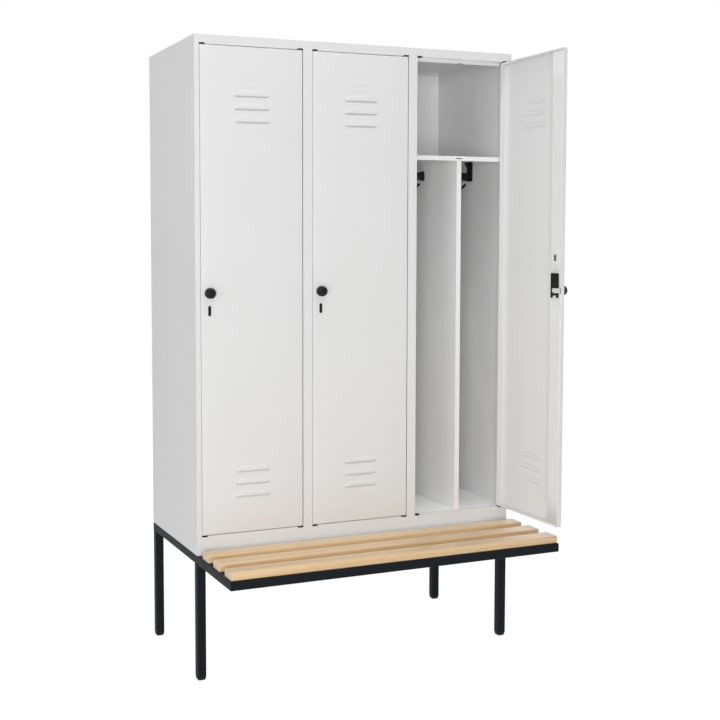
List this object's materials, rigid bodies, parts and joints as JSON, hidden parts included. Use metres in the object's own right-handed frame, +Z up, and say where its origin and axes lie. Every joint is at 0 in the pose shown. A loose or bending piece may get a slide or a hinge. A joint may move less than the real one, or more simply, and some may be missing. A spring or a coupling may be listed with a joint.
{
  "type": "changing-room locker on a bench frame",
  "caption": "Steel changing-room locker for coats with hinged, knob-locked doors, hat shelves and coat rails, standing on a dark leg frame with a slatted bench in front.",
  "frame": {"origin": "on the floor, under the middle of the unit's outline with its right door open at 90 degrees", "axes": "+Z up, -Y the front where the doors and the bench are, +X to the right seen from the front"},
  "size_m": [1.2086, 0.8468, 2.123],
  "materials": {
    "white_paint": "fine powder coat, pure white, low gloss",
    "dark_paint": "fine powder coat, anthracite grey, low gloss",
    "black_plastic": "moulded black plastic, semi-matt",
    "steel": "zinc-plated, satin",
    "wood": "light hardwood, clear lacquer, satin"
  },
  "bodies": {
    "cabinet": {"side_left": "white_paint", "side_right": "white_paint", "back_panel": "white_paint", "top_panel": "white_paint", "floor_panel": "white_paint", "front_rail_bottom": "white_paint", "front_rail_top": "white_paint", "stile_left": "white_paint", "stile_1": "white_paint", "stile_2": "white_paint", "stile_right": "white_paint", "inner_wall_1": "white_paint", "inner_wall_2": "white_paint", "hat_shelf_1": "white_paint", "divider_1": "white_paint", "coat_rail_1_left": "black_plastic", "coat_rail_1_right": "black_plastic", "hat_shelf_2": "white_paint", "divider_2": "white_paint", "coat_rail_2_left": "black_plastic", "coat_rail_2_right": "black_plastic", "hat_shelf_3": "white_paint", "divider_3": "white_paint", "coat_rail_3_left": "black_plastic", "coat_rail_3_right": "black_plastic", "frame_rail_front": "dark_paint", "frame_rail_rear": "dark_paint", "frame_rail_left": "dark_paint", "frame_rail_right": "dark_paint", "frame_rail_cross": "dark_paint", "leg_front_left": "dark_paint", "foot_cap_front_left": "black_plastic", "leg_rear_left": "dark_paint", "foot_cap_rear_left": "black_plastic", "leg_front_right": "dark_paint", "foot_cap_front_right": "black_plastic", "leg_rear_right": "dark_paint", "foot_cap_rear_right": "black_plastic", "bench_slat_1": "wood", "bench_slat_2": "wood", "bench_slat_3": "wood"},
    "door_1": {"door_panel_1": "white_paint", "door_stiffener_1": "white_paint", "lock_case_1": "black_plastic", "slot_plug_1": "black_plastic"},
    "knob_body_1": {"knob_1": "black_plastic"},
    "bolt_body_1": {"lock_bolt_1": "steel"},
    "door_2": {"door_panel_2": "white_paint", "door_stiffener_2": "white_paint", "lock_case_2": "black_plastic", "slot_plug_2": "black_plastic"},
    "knob_body_2": {"knob_2": "black_plastic"},
    "bolt_body_2": {"lock_bolt_2": "steel"},
    "door_3": {"door_panel_3": "white_paint", "door_stiffener_3": "white_paint", "lock_case_3": "black_plastic", "slot_plug_3": "black_plastic"},
    "knob_body_3": {"knob_3": "black_plastic"},
    "bolt_body_3": {"lock_bolt_3": "steel"}
  },
  "joints": [
    {"name": "door_1_hinge", "type": "hinge", "parent": "cabinet", "child": "door_1", "pos_m": [-0.2301, -0.0682, 1.289], "axis": [0, 0, 1], "range_deg": [0, 90]},
    {"name": "knob_1_turn", "type": "hinge", "parent": "door_1", "child": "knob_body_1", "pos_m": [-0.5558, -0.0682, 1.289], "axis": [0, 1, 0], "range_deg": [0, 90]},
    {"name": "bolt_1_slide", "type": "slide", "parent": "door_1", "child": "bolt_body_1", "axis": [-1, 0, 0], "range_m": [0, 0.012]},
    {"name": "door_2_hinge", "type": "hinge", "parent": "cabinet", "child": "door_2", "pos_m": [0.1699, -0.0682, 1.289], "axis": [0, 0, 1], "range_deg": [0, 90]},
    {"name": "knob_2_turn", "type": "hinge", "parent": "door_2", "child": "knob_body_2", "pos_m": [-0.1558, -0.0682, 1.289], "axis": [0, 1, 0], "range_deg": [0, 90]},
    {"name": "bolt_2_slide", "type": "slide", "parent": "door_2", "child": "bolt_body_2", "axis": [-1, 0, 0], "range_m": [0, 0.012]},
    {"name": "door_3_hinge", "type": "hinge", "parent": "cabinet", "child": "door_3", "pos_m": [0.5699, -0.0682, 1.289], "axis": [0, 0, 1], "range_deg": [-90, 0]},
    {"name": "knob_3_turn", "type": "hinge", "parent": "door_3", "child": "knob_body_3", "pos_m": [0.5699, -0.3939, 1.289], "axis": [-1, 0, 0], "range_deg": [0, 90]},
    {"name": "bolt_3_slide", "type": "slide", "parent": "door_3", "child": "bolt_body_3", "axis": [0, -1, 0], "range_m": [0, 0.012]}
  ],
  "couplings": [
    {"joint": "bolt_1_slide", "follows": "knob_1_turn", "m_per_rad": 0.0076394},
    {"joint": "bolt_2_slide", "follows": "knob_2_turn", "m_per_rad": 0.0076394},
    {"joint": "bolt_3_slide", "follows": "knob_3_turn", "m_per_rad": 0.0076394}
  ]
}
